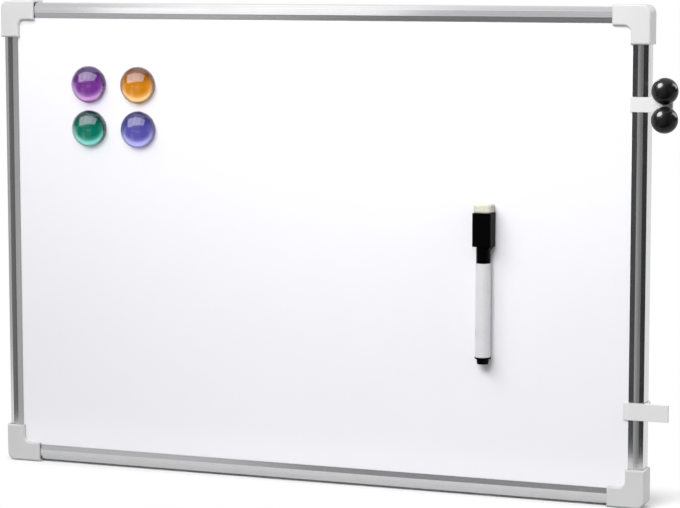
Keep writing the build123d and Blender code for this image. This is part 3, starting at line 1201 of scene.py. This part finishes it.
@dataclass
class Studio:
    """Camera, lamps, floor and world."""

    camera_at: Point = (0.67236, -1.69691, 0.20846)
    turn: float = 21.1156
    tip: float = -6.7646
    roll: float = -0.0405
    lens: float = 133.369
    sensor: float = 36.0
    lamps: tuple[Softbox, ...] = (
        Softbox("key", (-37.0, 46.0), 1.3, (0.5, 0.5), 7.6, (-0.01, 0.0, 0.12)),
        Softbox("front", (0.0, 30.0), 0.8, (0.4, 0.4), 4.7, (0.13, 0.0, 0.05)),
        Softbox("left", (-5.0, 38.0), 0.9, (0.5, 0.4), 1.7, (0.0, 0.0, 0.04)),
        Softbox("side", (82.0, 20.0), 0.8, (0.4, 0.4), 2.1, (0.25, 0.0, 0.16)),
        Softbox("top_rail", (-21.9, -1.3), 1.2, (1.4, 0.5), 1.6, TOP_RAIL_AIM, COOL_WHITE, TOP_RAIL),
        Softbox("top_rail_middle", (-25.0, -1.3), 1.2, (0.36, 0.5), 0.42, TOP_RAIL_AIM, WHITE, TOP_RAIL),
        Softbox("window", (-16.0, 42.0), 0.5, (0.95, 0.42), 3.2, GLASS_AIM, SKY_WHITE, GLASSES, roll=12.0),
        Softbox("spot", (-50.0, 47.0), 1.0, (0.7, 0.7), 48.0, BALL_AIM, WHITE, BALLS, round=True),
    )
    # Cards in front at eye level, below, just above and high up, then left, right, behind and overhead.
    cards: tuple[Card, ...] = (
        Card((-12.0, 11.0), (-14.0, -2.0), level=0.58, edge=4.0),
        Card((-35.0, -20.0), (-14.0, -2.0), level=0.2, edge=2.5),
        Card((-40.0, -23.0), (-45.0, -18.0), level=0.6, edge=2.0),
        Card((-21.0, 10.0), (-45.0, -18.0), level=0.22, edge=2.0),
        Card((-60.0, -23.0), (8.0, 22.0), level=0.75, edge=2.5),
        Card((-20.0, 8.0), (8.0, 22.0), level=0.34, edge=2.5),
        Card((-60.0, -26.5), (27.0, 62.0), level=0.6, edge=2.0),
        Card((-25.5, -19.5), (27.0, 62.0), level=1.6, edge=1.5),
        Card((-18.5, 8.0), (27.0, 62.0), level=0.9, edge=2.0),
        Card((-95.0, -66.0), (-40.0, 2.0), level=0.6, edge=5.0),
        Card((55.0, 112.0), (-40.0, 60.0), level=0.3, edge=8.0),
        Card((130.0, 148.0), (12.0, 40.0), level=9.0, edge=2.0),
        Card((-180.0, 180.0), (66.0, 91.0), level=0.9, edge=4.0),
    )
    dim: float = 0.03
    rear_span: Span = (140.0, 155.0)
    sky: float = 0.24
    backdrop: float = 0.95
    backdrop_span: Span = (-0.1, 0.3)
    sign_width: float = 0.002
    floor_front: float = 0.15
    floor_half: float = 4.0
    floor_back: float = 5.0
    floor_gap: float = 0.0002
    floor_seen: float = 0.88
    floor_mirrored: float = 0.74
    floor_near: float = 0.45
    floor_far: float = 0.35
    shadow_span: Span = (0.07 / 6, 0.07)

    def camera(self) -> None:
        """Make the camera: turned about Z, tipped about its own X and rolled about its own axis."""
        data = bpy.data.cameras.new("camera")
        data.lens, data.sensor_width = self.lens, self.sensor
        item = bpy.data.objects.new("camera", data)
        turn, tip, roll = (math.radians(angle) for angle in (self.turn, 90.0 + self.tip, self.roll))
        pose = Matrix.Rotation(turn, 4, "Z") @ Matrix.Rotation(tip, 4, "X") @ Matrix.Rotation(roll, 4, "Z")
        item.matrix_world = Matrix.Translation(self.camera_at) @ pose
        bpy.context.scene.collection.objects.link(item)
        bpy.context.scene.camera = item

    def floor(self) -> None:
        """Lay the floor just under the part."""
        low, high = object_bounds()
        side_x = np.array([-self.floor_half, self.floor_half])
        side_y = np.array([-self.floor_front, self.floor_back])
        grid_x, grid_y = np.meshgrid(side_x, side_y)
        points = np.stack([grid_x, grid_y, np.full_like(grid_x, low.z - self.floor_gap)], -1)
        mesh = bpy.data.meshes.new("floor")
        mesh.from_pydata(points.reshape(-1, 3).tolist(), [], [[0, 1, 3, 2]])
        mesh.materials.append(self.floor_paint(low, high))
        item = bpy.data.objects.new("floor", mesh)
        bpy.context.scene.collection.objects.link(item)
        item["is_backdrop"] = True

    def floor_paint(self, low: Vector, high: Vector) -> Material:
        """Paint the floor: it keeps the board's shadow near by and is plain white farther away.

        Args:
            low: the low corner of the part's box.
            high: the high corner of the part's box.

        Returns:
            The material.
        """
        material = bpy.data.materials.new("floor")
        material.use_nodes = True
        graph = Graph(material.node_tree)
        x, y, _ = graph.parts(graph.place())
        beyond_x = (x - (low.x + high.x) / 2).size() - (high.x - low.x) / 2
        beyond_y = (y - (low.y + high.y) / 2).size() - (high.y - low.y) / 2
        far = (beyond_x.most(0.0) + beyond_y.most(0.0)).step(*self.shadow_span)
        camera, glossy = graph.ray("Camera"), graph.ray("Glossy")
        seen = camera.most(graph.ray("Transmission")).most(glossy)
        bounced = graph.mixed(far, (self.floor_near,) * 3, (self.floor_far,) * 3)
        mirrored = graph.mixed(glossy, bounced, (self.floor_mirrored,) * 3)
        tone = graph.mixed(camera, mirrored, (self.floor_seen,) * 3)
        matt = graph.output("ShaderNodeBsdfDiffuse", {"Color": tone})
        white = graph.output("ShaderNodeEmission", {"Color": WHITE, "Strength": 1.0})
        surface = graph.mixed_shaders(far * seen, matt, white)
        graph.node("ShaderNodeOutputMaterial", inputs={"Surface": surface})
        return material

    def world(self) -> None:
        """Make the world: white to the camera, plain for matt surfaces and full of cards for mirrors.

        The azimuth is the arcsine of a direction's x, carried on past 90 degrees behind the board, and
        the elevation is the arcsine of its z.
        """
        world = bpy.data.worlds.new("studio")
        world.use_nodes = True
        world.cycles.sampling_method = "NONE"
        bpy.context.scene.world = world
        graph = Graph(world.node_tree)
        x, y, z = graph.parts(graph.node("ShaderNodeTexCoord").outputs["Generated"])
        ahead = (1.0 - x * x) ** 0.5 * (1.0 - 2.0 * y.step(-self.sign_width, self.sign_width))
        azimuth, elevation = x.arctangent(ahead), z.arcsine()
        mirrored = azimuth.size().step(*self.rear_span) + self.dim
        for card in self.cards:
            mirrored = mirrored.most(card.seen(azimuth, elevation))
        glossy = graph.ray("Glossy")
        seen = graph.ray("Camera").most(graph.ray("Transmission"))
        plain = self.sky + y.step(*self.backdrop_span) * (self.backdrop - self.sky)
        level = seen + (1.0 - seen) * (glossy * mirrored + (1.0 - glossy) * plain)
        grey = graph.output("ShaderNodeCombineXYZ", {0: level, 1: level, 2: level})
        background = graph.output("ShaderNodeBackground", {"Color": grey, "Strength": 1.0})
        graph.node("ShaderNodeOutputWorld", inputs={"Surface": background})

    def build(self) -> None:
        """Make the whole studio round the part."""
        self.camera()
        self.floor()
        self.world()
        for lamp in self.lamps:
            lamp.build()
        bpy.context.scene.view_settings.view_transform = "Standard"


def main() -> None:
    """Build the whole scene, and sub-assembly by sub-assembly."""
    logging.basicConfig(level=logging.INFO, format="%(name)s: %(message)s")
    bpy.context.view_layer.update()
    board = (Panel(), RailFrame(), CornerCaps(), FrameClips())
    for assembly in (*board, BallMagnets(), GlassMagnets(), Marker()):
        LOG.info("building %s", type(assembly).__name__)
        assembly.build()
    Studio().build()


if __name__ == "__main__":
    main()
